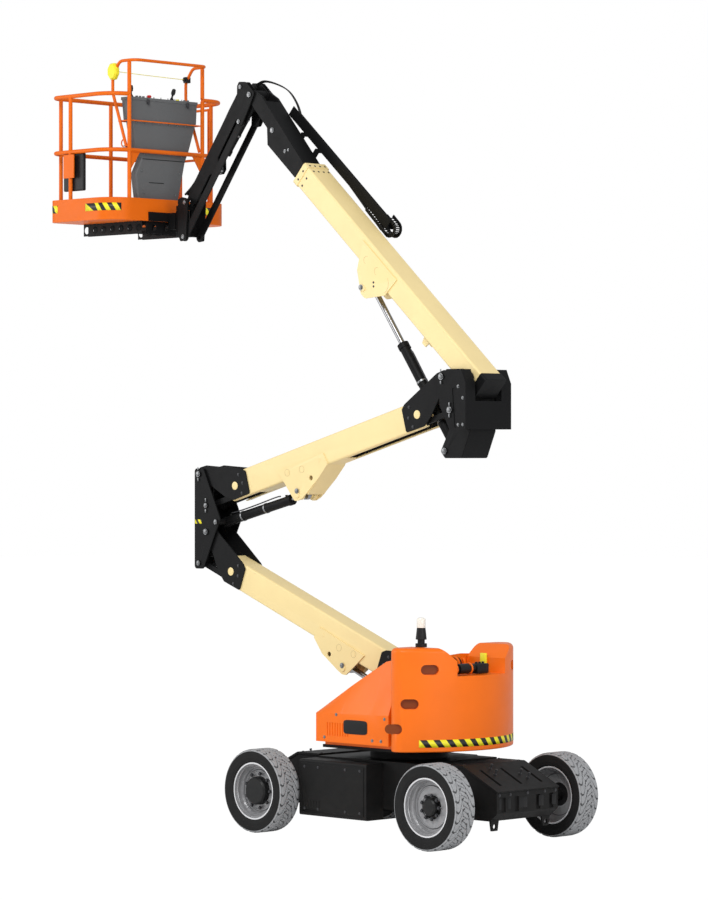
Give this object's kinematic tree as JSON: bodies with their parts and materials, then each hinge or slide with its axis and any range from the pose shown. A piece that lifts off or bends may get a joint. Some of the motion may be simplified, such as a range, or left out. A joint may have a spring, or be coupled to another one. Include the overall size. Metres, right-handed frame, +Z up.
{
  "type": "articulating boom lift",
  "caption": "Self-propelled lift with a folding tower, telescopic boom, jib and rotating work platform on a wheeled chassis with a slewing turntable.",
  "frame": {"origin": "middle of the overall box on the floor, in the pose of the picture", "axes": "+X along the chassis towards the steered wheels, +Y across it, +Z up"},
  "size_m": [5.1796, 1.75, 6.7247],
  "materials": {
    "amber": "amber lens",
    "black": "satin black paint",
    "chrome": "polished rod",
    "cream": "satin machine paint",
    "grey": "dark grey paint",
    "orange": "satin machine paint",
    "plastic": "moulded grey plastic",
    "tyre": "dull rubber"
  },
  "bodies": {
    "chassis": {"chassis_frame": "black", "side_boxes": "orange", "front_cover": "black", "rear_cover": "black", "drive_axle": "black", "steer_axle": "black"},
    "knuckle_left": {"knuckle_left": "black"},
    "knuckle_right": {"knuckle_right": "black"},
    "tie_rod": {"tie_rod": "black"},
    "wheel_drive_left": {"tyre_drive_left": "tyre", "rim_drive_left": "cream"},
    "wheel_drive_right": {"tyre_drive_right": "tyre", "rim_drive_right": "cream"},
    "wheel_steer_left": {"tyre_steer_left": "tyre", "rim_steer_left": "cream"},
    "wheel_steer_right": {"tyre_steer_right": "tyre", "rim_steer_right": "cream"},
    "turntable": {"turntable_frame": "black", "counterweight": "orange", "hood_left": "orange", "hood_right": "orange", "beacon": "black", "beacon_lens": "amber"},
    "lower_arm": {"lower_arm": "cream", "lower_arm_fittings": "black"},
    "lower_links": {"lower_links": "black"},
    "mid_upright": {"mid_upright": "black"},
    "upper_arm": {"upper_arm": "cream", "upper_arm_fittings": "black"},
    "upper_links": {"upper_links": "black"},
    "top_upright": {"top_upright": "black"},
    "main_boom": {"main_boom": "cream", "boom_end_cap": "black"},
    "fly_boom": {"fly_boom": "black", "hose_tray": "black"},
    "jib_bracket": {"jib_bracket": "black"},
    "jib": {"jib": "cream"},
    "jib_links": {"jib_links": "black"},
    "platform_support": {"platform_support": "black"},
    "platform": {"rotator": "black", "platform_floor": "orange", "toe_board": "orange", "floor_bearers": "black", "top_rail": "orange", "mid_rail": "orange", "rail_posts": "orange", "console_hoops": "grey", "console": "plastic", "document_box": "plastic"},
    "gate": {"gate": "orange"},
    "lower_lift_barrel": {"lower_lift_barrel": "black"},
    "lower_lift_rod": {"lower_lift_rod": "chrome"},
    "mid_lift_barrel": {"mid_lift_barrel": "black"},
    "mid_lift_rod": {"mid_lift_rod": "chrome"},
    "boom_lift_barrel": {"boom_lift_barrel": "black"},
    "boom_lift_rod": {"boom_lift_rod": "chrome"},
    "jib_lift_barrel": {"jib_lift_barrel": "black"},
    "jib_lift_rod": {"jib_lift_rod": "chrome"}
  },
  "joints": [
    {"name": "slew", "type": "hinge", "parent": "chassis", "child": "turntable", "pos_m": [1.23084, 0, 0.7], "axis": [0, 0, 1], "range_deg": [-177.5, 177.5]},
    {"name": "steer", "type": "hinge", "parent": "chassis", "child": "knuckle_left", "pos_m": [2.23584, 0.56, 0.354], "axis": [0, 0, 1], "range_deg": [-28, 28]},
    {"name": "steer_right", "type": "hinge", "parent": "chassis", "child": "knuckle_right", "pos_m": [2.23584, -0.56, 0.354], "axis": [0, 0, 1], "range_deg": [-28.5, 28.5]},
    {"name": "tie_rod_slide", "type": "slide", "parent": "chassis", "child": "tie_rod", "axis": [0, 1, 0], "range_m": [-0.115, 0.115]},
    {"name": "wheel_drive_left_spin", "type": "hinge", "parent": "chassis", "child": "wheel_drive_left", "pos_m": [0.22584, 0.755, 0.354], "axis": [0, 1, 0], "continuous": true},
    {"name": "wheel_drive_right_spin", "type": "hinge", "parent": "chassis", "child": "wheel_drive_right", "pos_m": [0.22584, -0.755, 0.354], "axis": [0, 1, 0], "continuous": true},
    {"name": "wheel_steer_left_spin", "type": "hinge", "parent": "knuckle_left", "child": "wheel_steer_left", "pos_m": [2.23584, 0.755, 0.354], "axis": [0, 1, 0], "continuous": true},
    {"name": "wheel_steer_right_spin", "type": "hinge", "parent": "knuckle_right", "child": "wheel_steer_right", "pos_m": [2.23584, -0.755, 0.354], "axis": [0, 1, 0], "continuous": true},
    {"name": "lower_arm_raise", "type": "hinge", "parent": "turntable", "child": "lower_arm", "pos_m": [1.58084, 0, 1.44], "axis": [0, 1, 0], "range_deg": [-29.5, 31.5]},
    {"name": "lower_links_turn", "type": "hinge", "parent": "turntable", "child": "lower_links", "pos_m": [1.48484, 0, 1.161], "axis": [0, 1, 0], "range_deg": [-30, 32]},
    {"name": "mid_upright_level", "type": "hinge", "parent": "lower_arm", "child": "mid_upright", "pos_m": [-1.13691, 0, 2.51055], "axis": [0, 1, 0], "range_deg": [-32, 30]},
    {"name": "upper_arm_raise", "type": "hinge", "parent": "mid_upright", "child": "upper_arm", "pos_m": [-1.23291, 0, 3.02055], "axis": [0, -1, 0], "range_deg": [-4.4, 36.6]},
    {"name": "upper_links_turn", "type": "hinge", "parent": "mid_upright", "child": "upper_links", "pos_m": [-1.13691, 0, 2.74355], "axis": [0, -1, 0], "range_deg": [-4.9, 37.1]},
    {"name": "top_upright_level", "type": "hinge", "parent": "upper_arm", "child": "top_upright", "pos_m": [1.75386, 0, 3.84324], "axis": [0, -1, 0], "range_deg": [-37.1, 4.9]},
    {"name": "boom_raise", "type": "hinge", "parent": "top_upright", "child": "main_boom", "pos_m": [2.05086, 0, 3.83024], "axis": [0, 1, 0], "range_deg": [-5.7, 33.3]},
    {"name": "fly_extend", "type": "slide", "parent": "main_boom", "child": "fly_boom", "axis": [-0.7466, 0, 0.6652], "range_m": [0, 1.2]},
    {"name": "jib_bracket_level", "type": "hinge", "parent": "fly_boom", "child": "jib_bracket", "pos_m": [-0.59745, 0, 6.34918], "axis": [0, 1, 0], "range_deg": [-33.8, 6.2]},
    {"name": "jib_raise", "type": "hinge", "parent": "jib_bracket", "child": "jib", "pos_m": [-0.71245, 0, 6.42518], "axis": [0, 1, 0], "range_deg": [-6.6, 133.4]},
    {"name": "jib_links_turn", "type": "hinge", "parent": "jib_bracket", "child": "jib_links", "pos_m": [-0.73345, 0, 6.12018], "axis": [0, 1, 0], "range_deg": [-7.1, 133.9]},
    {"name": "platform_level", "type": "hinge", "parent": "jib", "child": "platform_support", "pos_m": [-1.43984, 0, 5.44574], "axis": [0, 1, 0], "range_deg": [-133.9, 7.1]},
    {"name": "platform_rotate", "type": "hinge", "parent": "platform_support", "child": "platform", "pos_m": [-1.58984, 0, 5.44574], "axis": [0, 0, 1], "range_deg": [-80, 80]},
    {"name": "gate_swing", "type": "hinge", "parent": "platform", "child": "gate", "pos_m": [-2.41984, 0.707, 5.88574], "axis": [0, 0, -1], "range_deg": [0, 85]},
    {"name": "lower_lift_swing", "type": "hinge", "parent": "turntable", "child": "lower_lift_barrel", "pos_m": [1.58084, 0, 0.92], "axis": [0, 1, 0], "range_deg": [-24.39, 26.02]},
    {"name": "lower_lift_stroke", "type": "slide", "parent": "lower_lift_barrel", "child": "lower_lift_rod", "axis": [-0.9157, 0, 0.4018], "range_m": [-0.24142, 0.25765]},
    {"name": "mid_lift_swing", "type": "hinge", "parent": "mid_upright", "child": "mid_lift_barrel", "pos_m": [-1.00891, 0, 2.59955], "axis": [0, -1, 0], "range_deg": [-4.86, 36.73]},
    {"name": "mid_lift_stroke", "type": "slide", "parent": "mid_lift_barrel", "child": "mid_lift_rod", "axis": [0.9708, 0, 0.2397], "range_m": [-0.03848, 0.30543]},
    {"name": "boom_lift_swing", "type": "hinge", "parent": "top_upright", "child": "boom_lift_barrel", "pos_m": [1.79186, 0, 3.22624], "axis": [0, 1, 0], "range_deg": [-4.83, 25.81]},
    {"name": "boom_lift_stroke", "type": "slide", "parent": "boom_lift_barrel", "child": "boom_lift_rod", "axis": [-0.5772, 0, 0.8166], "range_m": [-0.04975, 0.28097]},
    {"name": "jib_lift_swing", "type": "hinge", "parent": "jib_bracket", "child": "jib_lift_barrel", "pos_m": [-0.67245, 0, 6.25518], "axis": [0, 1, 0], "range_deg": [-6.8, 127.9]},
    {"name": "jib_lift_stroke", "type": "slide", "parent": "jib_lift_barrel", "child": "jib_lift_rod", "axis": [-0.639, 0, -0.7692], "range_m": [-0.01813, 0.32796]}
  ],
  "couplings": [
    {"joint": "steer_right", "follows": "steer", "ratio": 1},
    {"joint": "tie_rod_slide", "follows": "steer", "m_per_rad": -0.16712},
    {"joint": "lower_links_turn", "follows": "lower_arm_raise", "ratio": 1},
    {"joint": "mid_upright_level", "follows": "lower_arm_raise", "ratio": -1},
    {"joint": "upper_links_turn", "follows": "upper_arm_raise", "ratio": 1},
    {"joint": "top_upright_level", "follows": "upper_arm_raise", "ratio": -1},
    {"joint": "jib_bracket_level", "follows": "boom_raise", "ratio": -1},
    {"joint": "jib_links_turn", "follows": "jib_raise", "ratio": 1},
    {"joint": "platform_level", "follows": "jib_raise", "ratio": -1},
    {"joint": "lower_lift_swing", "follows": "lower_arm_raise", "ratio": 0.81},
    {"joint": "lower_lift_stroke", "follows": "lower_arm_raise", "m_per_rad": 0.465},
    {"joint": "mid_lift_swing", "follows": "upper_arm_raise", "ratio": 0.99},
    {"joint": "mid_lift_stroke", "follows": "upper_arm_raise", "m_per_rad": 0.475},
    {"joint": "boom_lift_swing", "follows": "boom_raise", "ratio": 0.76},
    {"joint": "boom_lift_stroke", "follows": "boom_raise", "m_per_rad": 0.48},
    {"joint": "jib_lift_swing", "follows": "jib_raise", "ratio": 0.955},
    {"joint": "jib_lift_stroke", "follows": "jib_raise", "m_per_rad": 0.14}
  ]
}
